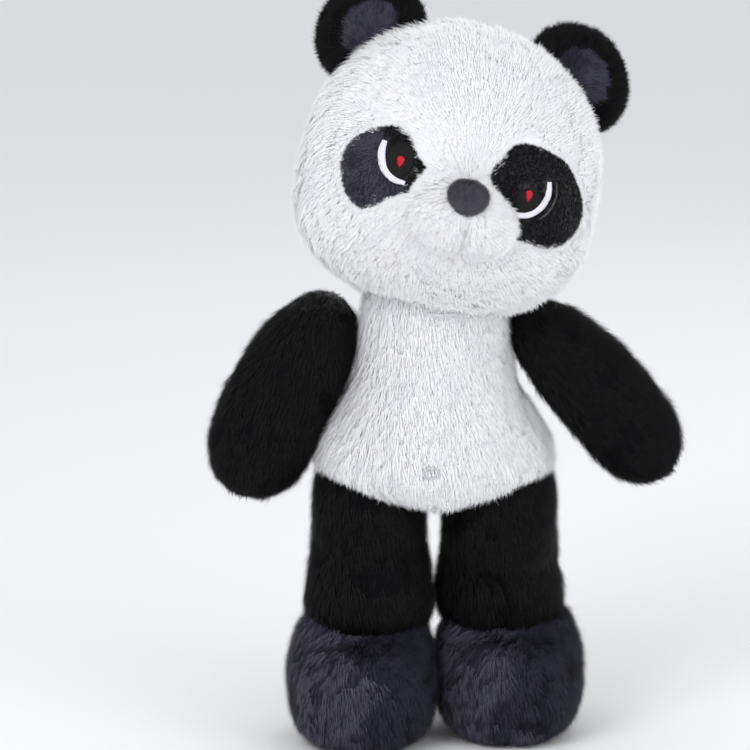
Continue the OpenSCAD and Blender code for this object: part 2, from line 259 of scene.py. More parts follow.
WHITE_GROUND = backing("white_backing", (0.88, 0.88, 0.90), (0.92, 0.92, 0.935))
BLACK_GROUND = backing("black_backing", (0.004, 0.004, 0.005), (0.010, 0.009, 0.010))
GREY_GROUND = backing("grey_backing", (0.020, 0.018, 0.028), (0.060, 0.055, 0.085), 45)
WHITE_HAIR = [hair("white_hair_cool", (0.92, 0.925, 0.95)), hair("white_hair_plain", (0.94, 0.94, 0.955)),
              hair("white_hair_bright", (0.955, 0.955, 0.96)), hair("white_hair_shade", (0.905, 0.91, 0.94))]
BLACK_HAIR = [hair("black_hair_deep", (0.002, 0.002, 0.0028), 0.02), hair("black_hair_plain", (0.003, 0.003, 0.004), 0.02),
              hair("black_hair_worn", (0.007, 0.0065, 0.007), 0.03), hair("black_hair_soft", (0.004, 0.004, 0.005), 0.02)]
GREY_HAIR = [hair("grey_hair_dark", (0.026, 0.025, 0.040), 0.05), hair("grey_hair_mid", (0.045, 0.043, 0.068), 0.06),
             hair("grey_hair_light", (0.075, 0.072, 0.105), 0.08), hair("grey_hair_deep", (0.032, 0.030, 0.048), 0.05)]
# Painted shade: darker copies of the grey foot pile, for the half of each foot that the nap turns dark.
PAINTED_SHADE_HAIR = [hair("painted_shade_hair_dark", (0.008, 0.008, 0.014), 0.03), hair("painted_shade_hair_mid", (0.017, 0.016, 0.028), 0.04),
             hair("painted_shade_hair_light", (0.030, 0.029, 0.048), 0.05), hair("painted_shade_hair_deep", (0.011, 0.011, 0.019), 0.03)]
NOSE_HAIR = [hair("nose_pile_dark", (0.068, 0.064, 0.086), 0.2), hair("nose_pile_mid", (0.085, 0.081, 0.108), 0.25),
             hair("nose_pile_light", (0.105, 0.100, 0.130), 0.3), hair("nose_pile_soft", (0.076, 0.072, 0.096), 0.2)]
PATCH_HAIR = [hair("patch_hair_deep", (0.002, 0.002, 0.0025), 0.02), hair("patch_hair_plain", (0.004, 0.004, 0.005), 0.02),
              hair("patch_hair_worn", (0.006, 0.006, 0.008), 0.03), hair("patch_hair_dark", (0.003, 0.003, 0.004), 0.02)]
print("shades mixed")

# %% [markdown]
# ## Growing the pile
# Real plush has thousands of hairs a square centimetre, too many to model one by one. Blades a little
# wider than a hair, laid over each other like grass, look the same from arm's length. Thirteen blades make a
# tuft, and Geometry Nodes scatters four kinds of tuft over a skin, leaning each along the way the fur is
# brushed. The blades take most of their shading direction from the skin, which keeps the fur soft.

# %% Tufts of blades
BLADE_SHARE = 1.0


def tuft(name, material, seed, blades=13, width=0.07, spread=0.20):
    """A small sheaf of pointed blades, one unit tall, standing on the origin."""
    dice = np.random.default_rng(seed)
    bm = bmesh.new()
    for _ in range(blades):
        made = bmesh.ops.create_circle(bm, segments=3, radius=0.5, cap_ends=True)["verts"]
        tip = max(made, key=lambda v: v.co.y)
        tall, lean, root = dice.uniform(0.7, 1.1), dice.normal(0, spread, 2), dice.normal(0, 0.19, 2)
        for v in made:
            side = 0 if v is tip else math.copysign(width / 2, v.co.x)
            up = 1 if v is tip else 0
            v.co = Vector((root[0] + side + lean[0] * up, root[1] + (lean[1] * 0.5 - 0.04) * up, up * tall))
    for face in bm.faces:
        face.normal_update()
        if face.normal.y < 0:
            face.normal_flip()
    mesh = bpy.data.meshes.new(name)
    bm.to_mesh(mesh)
    bm.free()
    mesh.materials.append(material)
    for face in mesh.polygons:
        face.use_smooth = True
    return bpy.data.objects.new(name, mesh)


def tuft_set(name, shades, **shape):
    group = bpy.data.collections.new(name)
    for k, shade in enumerate(shades):
        group.objects.link(tuft(f"{name}_{k}", shade, seed=10 + k, **shape))
    return group


FUR = dict(width=0.066)
WHITE_TUFTS = tuft_set("white_tufts", WHITE_HAIR, **FUR)
BLACK_TUFTS = tuft_set("black_tufts", BLACK_HAIR, **FUR)
GREY_TUFTS = tuft_set("grey_tufts", GREY_HAIR, **FUR)
PAINTED_SHADE_TUFTS = tuft_set("dusk_tufts", PAINTED_SHADE_HAIR, **FUR)
NOSE_TUFTS = tuft_set("nose_tufts", NOSE_HAIR, **FUR)
PATCH_TUFTS = tuft_set("patch_tufts", PATCH_HAIR, **FUR)

# %% The node tree that scatters tufts
def pile_nodes(tufts, per_mm2, length, lie, ruffle, seed, streak):
    tree = bpy.data.node_groups.new("pile", "GeometryNodeTree")
    tree.interface.new_socket("Geometry", in_out="INPUT", socket_type="NodeSocketGeometry")
    tree.interface.new_socket("Geometry", in_out="OUTPUT", socket_type="NodeSocketGeometry")

    def add(kind, **settings):
        node = tree.nodes.new(kind)
        for key, value in settings.items():
            setattr(node, key, value)
        return node

    def join(source, target, socket, index=0):
        tree.links.new(source.outputs[index], target.inputs[socket])

    def stored(name, kind):
        node = add("GeometryNodeInputNamedAttribute", data_type=kind)
        node.inputs["Name"].default_value = name
        return node

    def maths(operation, a, b, ai=0, bi=0, vector=True):
        node = add("ShaderNodeVectorMath" if vector else "ShaderNodeMath", operation=operation)
        for k, (part, out) in enumerate(((a, ai), (b, bi))):
            slot_in = node.inputs[3] if vector and operation == "SCALE" and k else node.inputs[k]
            if hasattr(part, "outputs"):
                tree.links.new(part.outputs[out], slot_in)
            elif part is not None:
                slot_in.default_value = part
        return node

    begin, end = add("NodeGroupInput"), add("NodeGroupOutput")
    scatter = add("GeometryNodeDistributePointsOnFaces", distribute_method="RANDOM")
    scatter.inputs["Seed"].default_value = seed
    join(begin, scatter, "Mesh")
    density = maths("MULTIPLY", stored("keep", "FLOAT"), per_mm2 * 1e6 * BLADE_SHARE, vector=False)
    join(density, scatter, "Density")
    dice = add("FunctionNodeRandomValue", data_type="FLOAT_VECTOR")
    dice.inputs[0].default_value, dice.inputs[1].default_value = (-1, -1, -1), (1, 1, 1)
    dice.inputs["Seed"].default_value = seed + 1
    wander = add("ShaderNodeTexNoise")
    wander.inputs["Scale"].default_value = streak
    wander.inputs["Detail"].default_value = 1
    sway = maths("SUBTRACT", wander, (0.5, 0.5, 0.5), ai=1)
    brushed = maths("SCALE", stored("comb", "FLOAT_VECTOR"), lie)
    raised = maths("SCALE", scatter, 1 - lie, ai=1)
    lean = maths("ADD", brushed, raised)
    lean = maths("ADD", lean, maths("SCALE", dice, ruffle))
    lean = maths("ADD", lean, maths("SCALE", sway, ruffle * 3.0))
    upright = add("FunctionNodeAlignRotationToVector", axis="Z")
    join(lean, upright, "Vector")
    flat = add("FunctionNodeAlignRotationToVector", axis="Y", pivot_axis="Z")
    join(upright, flat, "Rotation")
    join(scatter, flat, "Vector", 1)
    tall = add("FunctionNodeRandomValue", data_type="FLOAT")
    tall.inputs[2].default_value, tall.inputs[3].default_value = length * 0.00075, length * 0.00118
    tall.inputs["Seed"].default_value = seed + 2
    tall = maths("MULTIPLY", tall, stored("long", "FLOAT"), ai=1, vector=False)
    kind = add("FunctionNodeRandomValue", data_type="FLOAT")
    kind.inputs[2].default_value, kind.inputs[3].default_value = -1.1, 1.1
    kind.inputs["Seed"].default_value = seed + 3
    patchy = maths("MULTIPLY", wander, 8.0, vector=False)
    pick = maths("ADD", patchy, kind, bi=1, vector=False)
    pick = maths("SUBTRACT", pick, 2.0, vector=False)
    pick = maths("MODULO", maths("ABSOLUTE", pick, None, vector=False), 4.0, vector=False)
    source = add("GeometryNodeCollectionInfo", transform_space="ORIGINAL")
    source.inputs["Collection"].default_value = tufts
    source.inputs["Separate Children"].default_value = True
    source.inputs["Reset Children"].default_value = True
    plant = add("GeometryNodeInstanceOnPoints")
    join(scatter, plant, "Points")
    join(source, plant, "Instance")
    plant.inputs["Pick Instance"].default_value = True
    join(pick, plant, "Instance Index")
    join(flat, plant, "Rotation")
    join(tall, plant, "Scale")
    keep_normal = add("GeometryNodeStoreNamedAttribute", data_type="FLOAT_VECTOR", domain="POINT")
    keep_normal.inputs["Name"].default_value = "ground"
    tree.links.new(scatter.outputs["Points"], keep_normal.inputs["Geometry"])
    tree.links.new(scatter.outputs["Normal"], keep_normal.inputs["Value"])
    tree.links.new(keep_normal.outputs["Geometry"], plant.inputs["Points"])
    real = add("GeometryNodeRealizeInstances")
    join(plant, real, "Geometry")
    join(real, end, "Geometry")
    return tree


PILE_TRIANGLES = {}


def grow(name, skin, tufts, comb, per_mm2=0.33, length=7.6, lie=0.76, ruffle=0.15, seed=1, streak=40,
         keep=None, long=None, softness=0.90, lowest=None):
    """Pile for a skin. comb, keep and long are functions of a point of the skin in millimetres."""
    base = skin.data.copy()
    count = len(base.vertices)
    points = np.empty(count * 3)
    normals = np.empty(count * 3)
    base.vertices.foreach_get("co", points)
    base.vertex_normals.foreach_get("vector", normals)
    points, normals = points.reshape(-1, 3) * 1000, normals.reshape(-1, 3)
    way = np.array([comb(Vector(p)) for p in points])
    way -= normals * (way * normals).sum(1)[:, None]
    way /= np.maximum(np.linalg.norm(way, axis=1), 1e-6)[:, None]
    for key, kind, values in (("comb", "FLOAT_VECTOR", way),
                              ("keep", "FLOAT", [keep(Vector(p)) if keep else 1 for p in points]),
                              ("long", "FLOAT", [long(Vector(p)) if long else 1 for p in points])):
        store = base.attributes.new(key, kind, "POINT")
        store.data.foreach_set("vector" if kind == "FLOAT_VECTOR" else "value", np.array(values, float).ravel())
    pile = bpy.data.objects.new(name, base)
    bpy.context.scene.collection.objects.link(pile)
    growth = pile.modifiers.new("growth", "NODES")
    growth.node_group = pile_nodes(tufts, per_mm2, length, lie, ruffle, seed, streak)
    graph = bpy.context.evaluated_depsgraph_get()
    grown = bpy.data.meshes.new_from_object(pile.evaluated_get(graph), depsgraph=graph)
    pile.modifiers.clear()
    pile.data = grown
    bpy.data.meshes.remove(base)
    if lowest is not None:
        for v in grown.vertices:
            v.co.z = max(v.co.z, lowest * 0.001)
    ground = np.empty(len(grown.vertices) * 3)
    grown.attributes["ground"].data.foreach_get("vector", ground)
    own = np.empty(len(grown.vertices) * 3)
    grown.vertex_normals.foreach_get("vector", own)
    ground, own = ground.reshape(-1, 3), own.reshape(-1, 3)
    facing = np.sign((ground * own).sum(1))
    facing[facing == 0] = 1
    soft = ground * softness + own * facing[:, None] * (1 - softness)
    soft /= np.linalg.norm(soft, axis=1)[:, None]
    for key in [a.name for a in grown.attributes if a.name in ("ground", "comb", "keep", "long")]:
        grown.attributes.remove(grown.attributes[key])
    grown.polygons.foreach_set("use_smooth", [True] * len(grown.polygons))
    grown.normals_split_custom_set_from_vertices(soft.tolist())
    PILE_TRIANGLES[name] = sum(len(p.vertices) - 2 for p in grown.polygons)
    return pile


print("pile maker ready, share of full density:", BLADE_SHARE)

# %% [markdown]
# ## Head
# The head is one large ball of white plush with full cheeks and a rather flat underside. It is shaped from
# rows of half sizes, wider in the lower half. A padded muzzle is its own bag, sewn on below the middle, with
# a crease down from the nose.

# %% Head and muzzle skins
HEAD_ROWS = [(93, 0, 0), (92, 16, 15), (86, 38, 34), (74, 59, 54), (55, 78, 72), (30, 90, 84), (5, 94.5, 89),
             (-18, 95.5, 90), (-38, 94, 88), (-54, 88, 83), (-68, 77, 73), (-79, 60, 58), (-86, 40, 40),
             (-89, 18, 18), (-90, 0, 0)]
head_skin = finish_piece("head_plush", bag(HEAD_ROWS, 192, 144), HEAD, WHITE_GROUND, 1)
MUZZLE_ROWS = [(25, 0, 0), (24, 10, 7), (20, 20, 13), (12, 29, 19), (0, 34, 23), (-9, 32, 22), (-16, 25.5, 18),
               (-21, 15, 11.5), (-23.5, 6, 5), (-24, 0, 0)]


def crease_muzzle(bm):
    for v in bm.verts:
        if v.co.y < 0 and v.co.z < 2:
            v.co.y += 6 * math.exp(-(v.co.x / 3.4) ** 2) * min(1, (2 - v.co.z) / 8)
    return bm


MUZZLE_AT = Vector((2, -83, -31))
muzzle_skin = finish_piece("muzzle_plush", crease_muzzle(bag(MUZZLE_ROWS, 96, 48)),
                           HEAD @ Matrix.Translation(MUZZLE_AT), WHITE_GROUND)
INTO_HEAD = HEAD.inverted()
HEAD_TREE = BVHTree.FromObject(head_skin, bpy.context.evaluated_depsgraph_get())


FACE_DROP = -2


def on_face(x, z):
    """Where a line straight into the face at (x, z) meets the head, with the way out, in millimetres."""
    z -= FACE_DROP
    x -= 2.6 * max(0, min(1, x / 12))
    start, way = HEAD @ Vector((x, -200, z)) * 0.001, HEAD.to_3x3() @ Vector((0, 1, 0))
    place, normal, _, _ = HEAD_TREE.ray_cast(start, way)
    return place * 1000, normal


print("head skin:", len(head_skin.data.vertices), "points")

# %% [markdown]
# ## Nose
# The nose is a small padded drop, wide at the top and pointed at the bottom, in velvety dark pile.

# %% Nose skin
NOSE_ROWS = [(10, 0, 0), (9.6, 5, 4), (7.6, 9.6, 7), (3.6, 12.6, 9), (-1, 12.4, 9), (-5, 10.2, 7.5), (-8.6, 6.6, 5),
             (-10.8, 3, 2.5), (-11.4, 0, 0)]
NOSE_AT = Vector((-1.5, -104, -16.5))
nose_skin = finish_piece("nose_pad", bag(NOSE_ROWS, 48, 32, 2.2), HEAD @ Matrix.Translation(NOSE_AT) @ turn(-14, "X"),
                         backing("nose_backing", (0.055, 0.052, 0.072), (0.095, 0.090, 0.12)))
print("nose:", [round(d * 1000) for d in nose_skin.dimensions], "mm")

# %% [markdown]
# ## Eyes
# Each eye is flat needlework on a patch of black plush: a white crescent on the outer and lower side, a
# glossy dark iris cut off by a straight lid, and a small red glint. The two patches are not alike, so each
# has its own outline. A thin padded disc is pressed onto the curved face for each layer.

# %% Patches and needlework
PATCH_MIDDLE = {"left": (50, -8), "right": (-56, -13)}
PATCH_OUTLINE = {
    "left": [(14, -2), (22, 12), (26, 19), (32, 22), (42, 22), (54, 19), (65, 15), (73, 7), (79, 0), (83, -8),
             (84, -16), (82, -24), (76, -31), (69, -36), (60, -38), (51, -37), (44, -37), (38, -36), (32, -26),
             (23, -13)],
    "right": [(-30, -6), (-36, -1), (-39, 4), (-42, 10), (-47, 13), (-53, 15), (-60, 12), (-67, 8), (-73, 2),
              (-76, -4), (-77, -13), (-75, -22), (-72, -30), (-67, -36), (-61, -39), (-54, -35), (-48, -29),
              (-42, -25), (-37, -23), (-36, -17), (-33, -12)]}


def edge_reach(outline, middle):
    """How far the outline lies from its middle in each direction, as a function of the angle."""
    rel = np.array(outline, float) - np.array(middle, float)
    angle = np.arctan2(rel[:, 1], rel[:, 0])
    order = np.argsort(angle)
    angle, reach = angle[order], np.hypot(rel[:, 0], rel[:, 1])[order]
    return lambda a: np.interp(a, angle, reach, period=2 * math.pi)


def disc_on_face(name, outline, middle, thick, lift, material, around=72, rings=24):
    """A thin padded disc with the given outline, pressed onto the face."""
    reach = edge_reach(outline, middle)
    bm = bmesh.new()
    bmesh.ops.create_uvsphere(bm, u_segments=around, v_segments=rings, radius=1)
    for v in bm.verts:
        a, flat = math.atan2(v.co.y, v.co.x), math.hypot(v.co.x, v.co.y)
        far = float(reach(a)) * flat
        place, normal = on_face(middle[0] + far * math.cos(a), middle[1] + far * math.sin(a))
        v.co = place + normal * (lift + thick * math.copysign(abs(v.co.z) ** 0.6, v.co.z))
    return finish_piece(name, bm, Matrix(), material)


def ribbon_on_face(name, line, widths, thick, lift, material):
    """A raised satin ribbon along a curved line on the face."""
    path = smooth_rows([(x, z, w) for (x, z), w in zip(line, widths)], 10)
    bm = bmesh.new()
    bmesh.ops.create_cube(bm, size=1)
    bmesh.ops.subdivide_edges(bm, edges=[e for e in bm.edges if abs((e.verts[0].co - e.verts[1].co).x) > 0.5],
                              cuts=len(path) - 2, use_grid_fill=True)
    bmesh.ops.subdivide_edges(bm, edges=[e for e in bm.edges if abs((e.verts[0].co - e.verts[1].co).y) > 0.5],
                              cuts=3, use_grid_fill=True)
    for v in bm.verts:
        k = (v.co.x + 0.5) * (len(path) - 1)
        here = [np.interp(k, range(len(path)), path[:, c]) for c in range(3)]
        j = min(max(int(round(k)), 1), len(path) - 2)
        along = path[j + 1, :2] - path[j - 1, :2]
        along /= np.linalg.norm(along)
        x, z = here[0] - along[1] * v.co.y * here[2], here[1] + along[0] * v.co.y * here[2]
        place, normal = on_face(x, z)
        crown = thick * (1 - (2 * v.co.y) ** 2) * 0.8 if v.co.z > 0 else 0
        v.co = place + normal * (lift + v.co.z * 0.4 + crown)
    return finish_piece(name, bm, Matrix(), material)


def satin(name, dark, light, rough=0.45, sheen=0.2, twist=0.0):
    """Satin stitch: fine parallel threads with a soft gloss."""
    thread = backing(name, dark, light, 250, sheen)
    nodes, links = thread.node_tree.nodes, thread.node_tree.links
    shader = nodes["Principled BSDF"]
    shader.inputs["Roughness"].default_value = rough
    shader.inputs["Specular IOR Level"].default_value = 0.2
    turned, rows = nodes.new("ShaderNodeMapping"), nodes.new("ShaderNodeTexWave")
    turned.inputs["Rotation"].default_value = (0, twist, 0)
    rows.inputs["Scale"].default_value = 900
    rows.inputs["Distortion"].default_value = 1.5
    where = next(n for n in nodes if n.type == "TEX_COORD")
    bump = next(n for n in nodes if n.type == "BUMP")
    links.new(where.outputs["Object"], turned.inputs["Vector"])
    links.new(turned.outputs["Vector"], rows.inputs["Vector"])
    links.new(rows.outputs["Fac"], bump.inputs["Height"])
    bump.inputs["Strength"].default_value = 0.35
    bump.inputs["Distance"].default_value = 0.0004
    return thread


WHITE_THREAD = satin("white_thread", (0.72, 0.68, 0.78), (0.86, 0.84, 0.90), 0.5)
IRIS_THREAD = satin("iris_thread", (0.003, 0.003, 0.003), (0.007, 0.006, 0.007), 0.6, 0.0, 0.5)
RED_THREAD = satin("red_thread", (0.42, 0.006, 0.012), (0.62, 0.020, 0.030), 0.5, 0.0)
RED_HALO = satin("dark_red_thread", (0.022, 0.003, 0.004), (0.045, 0.004, 0.006), 0.6, 0.0)
GREY_ARC = satin("grey_thread", (0.050, 0.048, 0.052), (0.085, 0.080, 0.085), 0.5)
PATCH_GROUND = backing("patch_backing", (0.004, 0.004, 0.005), (0.012, 0.011, 0.015))
eyes = []
patch_skin = {}
for name in SIDES:
    patch_skin[name] = disc_on_face(f"eye_patch_{name}_pad", PATCH_OUTLINE[name], PATCH_MIDDLE[name], 1.6, 0.6,
                                    PATCH_GROUND)


def oval(cx, cz, half_w, half_h, top=None):
    points = [(cx + half_w * math.cos(a), cz + half_h * math.sin(a)) for a in np.linspace(0, 2 * math.pi, 40)[:-1]]
    return [(x, min(z, top(x)) if top else z) for x, z in points]


CRESCENT = {"left": ([(53, 2.5), (54, -5), (52, -12), (47, -18), (41, -21.5), (35, -22)], [2.8, 4.0, 4.4, 4.4, 3.9, 2.6]),
            "right": ([(-55.5, 5), (-56, -1), (-55, -7), (-52, -13), (-46, -17.5), (-39, -18.5)],
                      [2.8, 4.0, 4.4, 4.4, 3.9, 2.6])}
IRIS = {"left": oval(42, -12, 9, 9.5, lambda x: -9 + (x - 32) * 0.47 + 1), "right": oval(-45, -5, 8.5, 11.5)}
GLINT_AT = {"left": (40.5, -9), "right": (-44, -6)}
for name, side in SIDES.items():
    line, widths = CRESCENT[name]
    gx, gz = GLINT_AT[name]
    drop = [(-1.8, 2.8), (0, 3.6), (1.9, 2.6), (1.6, 0), (0.8, -2.2), (0, -3.8), (-0.7, -2.2), (-1.4, 0)]
    eyes += [
        ribbon_on_face(f"eye_white_{name}_stitch", line, widths, 0.9, 2.6, WHITE_THREAD),
        disc_on_face(f"iris_{name}_stitch", IRIS[name], (gx, gz - 1), 1.3, 2.1, IRIS_THREAD, 48, 12),
        disc_on_face(f"iris_halo_{name}_stitch", oval(gx, gz, 2.8, 4.8), (gx, gz), 0.5, 3.2, RED_HALO, 32, 8),
        disc_on_face(f"eye_glint_{name}_stitch", [(gx + x, gz + z) for x, z in drop], (gx, gz), 0.7, 3.5,
                     RED_THREAD, 32, 8)]
arc = ribbon_on_face("outer_arc_left_stitch", [(58, 3), (59.5, -6), (57, -15), (51.5, -22)], [0.5, 1.3, 1.3, 0.5], 0.5,
                     2.6, GREY_ARC)
eyes.append(arc)
print("eye pieces:", len(eyes))

# %% [markdown]
# ## Ears
# An ear is a round black bag with a dished grey front. The front of a flattened ball is pushed back inside
# a circle, which leaves a thick rolled rim, and a separate grey pad lies in the dish.

# %% Ear skins
EAR_ROWS = [(35, 0, 0), (34, 9, 4), (30, 19, 8), (22, 28, 11.5), (11, 34, 13.5), (0, 34.5, 13.5), (-8, 31, 12.5),
            (-13, 22, 10), (-15, 0, 0)]
ear_skin, ear_inner = {}, {}
for name, side in SIDES.items():
    shape = bag(EAR_ROWS, 72, 48)
    for v in shape.verts:
        if v.co.y < 0:
            inside = 1 - min(1, math.hypot(v.co.x / 25, (v.co.z - 8) / 21)) ** 3
            v.co.y += 10 * max(0, inside)
    ear_skin[name] = finish_piece(f"ear_{name}_plush", shape, ear_place(side), BLACK_GROUND)
    dish = bag([(19, 0, 0), (18, 8, 1.5), (13, 17, 2.6), (3, 22, 3), (-8, 20, 2.8), (-15, 11, 2), (-17, 0, 0)], 48, 28)
    ear_inner[name] = finish_piece(f"ear_{name}_inner", dish, ear_place(side) @ Matrix.Translation((0, -4.0, 7)),
                                   backing(f"inner_ear_backing_{name}", (0.026, 0.024, 0.038), (0.05, 0.046, 0.07)))
print("ears:", len(ear_skin))

# %% [markdown]
# ## Torso
# The body is a pear: a narrow chest, a low round belly and a hem that ends in a lip above the legs. The last
# rows turn inwards and up, so the legs' round tops move in a hollow, as a hip does under a sewn hem.

# %% Torso skin
TORSO_ROWS = [(325, 0, 0), (323, 18, 18), (316, 31, 30), (304, 40, 38), (291, 45, 42), (278, 47, 43.5), (266, 48, 44),
              (254, 49, 46), (240, 52, 50), (226, 59, 55), (212, 67, 60), (199, 74, 63.5), (187, 77, 64.5),
              (178, 77, 63), (172, 73.5, 60), (168.5, 66, 54.5), (171, 50, 46), (178, 32, 32), (182, 14, 14),
              (183, 0, 0)]
shape = bag(TORSO_ROWS, 96, 84, 2.1)
for v in shape.verts:
    if v.co.z < 188:
        v.co.z += (2 + 6 * (v.co.x / 72) ** 2) * min(1, (188 - v.co.z) / 14)
    if v.co.z < 182:
        v.co.z -= 5 * math.exp(-(v.co.x / 20) ** 2) * min(1, (182 - v.co.z) / 8)
    if v.co.y < 0:
        dent = math.exp(-((v.co.x + 3) ** 2 + (v.co.z - 190) ** 2) / 40)
        v.co.y += 2.5 * dent
torso_skin = finish_piece("torso_plush", shape, Matrix.Translation(MIDDLE), WHITE_GROUND, 1)
print("torso:", [round(d * 1000) for d in torso_skin.dimensions], "mm")

# %% [markdown]
# ## Arms
# Each arm is a flat-sided mitten, narrow at the shoulder and widest near its round end. It is shaped upright
# and then laid along the direction in which the arm hangs.

# %% Arm skins
ARM = {"right": dict(top=(-74, 10.5, 295), tip=(-138, 8, 165), wide=33.5),
       "left": dict(top=(47, 10.5, 288), tip=(143, 8, 178), wide=29.5)}
arm_skin = {}
for name, side in SIDES.items():
    top, tip, wide = Vector(ARM[name]["top"]), Vector(ARM[name]["tip"]), ARM[name]["wide"]
    long_arm = (tip - top).length
    down = (tip - top).normalized()
    aside = Vector((0, -1, 0)).cross(down)
    frame_in = Matrix((aside, Vector((0, 1, 0)), -down)).transposed().to_4x4()
    rows = [(-long_arm * t, wide * w, wide * d, bow * side, 0) for t, w, d, bow in
            [(0, 0, 0, 0), (0.02, 0.30, 0.30, 0), (0.07, 0.55, 0.50, 0), (0.16, 0.75, 0.66, 0), (0.30, 0.90, 0.75, 1),
             (0.46, 0.98, 0.80, 2), (0.62, 1.0, 0.82, 2), (0.76, 0.97, 0.80, 1), (0.87, 0.85, 0.70, 0),
             (0.945, 0.62, 0.52, 0), (0.985, 0.33, 0.28, 0), (1, 0, 0, 0)]]
    arm_skin[name] = finish_piece(f"arm_{name}_plush", bag(rows, 64, 64, 2.1), Matrix.Translation(top) @ frame_in,
                                  BLACK_GROUND)
print("arms:", [round(a.dimensions.z * 1000) for a in arm_skin.values()], "mm tall")

# %% [markdown]
# ## Legs and feet
# A leg is a short black tube under a round hip, sewn from two halves, so a seam runs down its front. The
# foot is a big padded boot of brushed grey fur that closes around the leg. The leg's round end sits inside
# the boot's rim, and both are turned shapes, so they stay together when the foot bends.

# %% Leg and foot skins
def seam_groove(bm, at_x, deep, wide, front_only=True):
    for v in bm.verts:
        if not front_only or v.co.y < 0:
            pull = deep * math.exp(-((v.co.x - at_x) / wide) ** 2)
            v.co.y += pull if v.co.y < 0 else -pull
    return bm


def fuse(name, parts, place, material, voxel=0.0028):
    """Several closed shapes made into one smooth skin."""
    whole = bmesh.new()
    for part in parts:
        spare = bpy.data.meshes.new("spare")
        part.to_mesh(spare)
        part.free()
        whole.from_mesh(spare)
        bpy.data.meshes.remove(spare)
    piece = finish_piece(name, whole, place, material)
    melt = piece.modifiers.new("melt", "REMESH")
    melt.mode, melt.voxel_size, melt.use_smooth_shade = "VOXEL", voxel, True
    soften = piece.modifiers.new("soften", "SMOOTH")
    soften.factor, soften.iterations = 0.5, 10
    graph = bpy.context.evaluated_depsgraph_get()
    melted = bpy.data.meshes.new_from_object(piece.evaluated_get(graph))
    piece.modifiers.clear()
    piece.data = melted
    for face in melted.polygons:
        face.use_smooth = True
    return piece


HIP_ROWS = [(34.5, 0, 0), (34, 18, 18), (31, 30, 30), (25, 39.5, 39.5), (16, 46, 46), (6, 48.8, 48.8),
            (-6, 48.8, 48.8), (-16, 46, 46), (-25, 39.5, 39.5), (-31, 30, 30), (-34, 18, 18), (-34.5, 0, 0)]
SHAFT_ROWS = [(20, 0, 0), (19, 20, 20), (12, 32, 32), (0, 35, 36), (-22, 36, 37), (-44, 39, 38.5), (-58, 41, 39), (-70, 38, 36),
              (-80, 27, 26), (-87, 12, 12), (-89, 0, 0)]
FOOT_ROWS = [(85, 0, 0), (85, 16, 18), (84.5, 28, 32), (83, 34.5, 42), (79, 38.5, 48.5), (71, 42.5, 54),
             (57, 46.5, 58.5), (40, 47.6, 59), (24, 46, 57), (12, 42, 52.5), (4.5, 35, 46),
             (0.8, 28, 39), (0.2, 14, 24), (0.2, 0, 0)]
leg_skin, foot_skin = {}, {}
for name, side in SIDES.items():
    hip = bag(HIP_ROWS, 48, 40)
    bmesh.ops.transform(hip, matrix=turn(90, "Y"), verts=hip.verts)
    shaft = seam_groove(bag(SHAFT_ROWS, 64, 56, 2.1), 0, 2.6, 4.0)
    leg_skin[name] = fuse(f"leg_{name}_plush", [hip, shaft], leg_place(side), BLACK_GROUND)
    boot = seam_groove(bag(FOOT_ROWS, 96, 72, 2.15), 0, 2.8, 4.5)
    for v in boot.verts:
        ahead = min(1, max(0, (8 - v.co.y) / 40))
        v.co.z -= 15 * ahead * ahead * (3 - 2 * ahead) * max(0, (v.co.z - 42) / 42)
        v.co.x += side * 1.2
    foot_skin[name] = finish_piece(f"foot_{name}_plush", boot, foot_place(side), GREY_GROUND, 1)
print("legs and feet:", len(leg_skin) + len(foot_skin))

# %% [markdown]
# ## Which way the fur lies
# Plush is brushed away from the nose on the face, down the back of the head, down the body and along the limbs towards their ends. The
# direction is worked out for each point of a skin, and places where no hair should grow get none.

# %% Grow the pile
def away_from_nose(p):
    local = INTO_HEAD @ p
    face = min(1, max(0, (10 - local.y) / 60))
    crown = min(1, max(0, local.z / 80))
    out = HEAD.to_3x3() @ Vector((local.x * face, 12 + 40 * crown * (1 - face),
                                  (local.z + 18) * face - 60 * (1 - face) * (1 - 0.5 * crown)))
    return out.normalized() + Vector((0, 0, -0.25))


def in_patch(p, grow_by=0.0):
    local = INTO_HEAD @ p
    if local.y > 0:
        return False
    for name, side in SIDES.items():
        dx, dz = local.x + (2.6 if side > 0 else 0) - PATCH_MIDDLE[name][0], local.z + FACE_DROP - PATCH_MIDDLE[name][1]
        if math.hypot(dx, dz) < REACH[name](math.atan2(dz, dx)) + grow_by:
            return True
    return False


REACH = {name: edge_reach(PATCH_OUTLINE[name], PATCH_MIDDLE[name]) for name in SIDES}


def under_muzzle(p):
    local = INTO_HEAD @ p - MUZZLE_AT
    return local.y < 20 and (local.x / 32) ** 2 + (local.z / 23) ** 2 < 1


def inside_torso(p):
    rel = p - MIDDLE
    return math.hypot(rel.x, rel.y) < 40 and rel.z > 255


def head_keep(part):
    def keep(p):
        if in_patch(p, -1.0) or under_muzzle(p):
            return 0
        local = INTO_HEAD @ p
        if local.z < -80 and math.hypot(local.x, local.y) < 38:
            return 0
        quarter = (0 if local.y < 0 else 2) + (0 if local.x < 0 else 1)
        return float(quarter == part)
    return keep


def nose_patch_length(p):
    local = INTO_HEAD @ p
    near = min(1, max(0, (local.y + 95) / 60))
    return (0.72 + 0.35 * near) * (0.6 if in_patch(p, 5) else 1)


piles = {}
for part, name in enumerate(("front_right", "front_left", "back_right", "back_left")):
    piles[f"head_pile_{name}"] = grow(f"head_pile_{name}", head_skin, WHITE_TUFTS, away_from_nose, seed=20 + part,
                                      lie=0.82, softness=0.90 if part < 2 else 0.65,
                                      keep=head_keep(part), long=nose_patch_length)


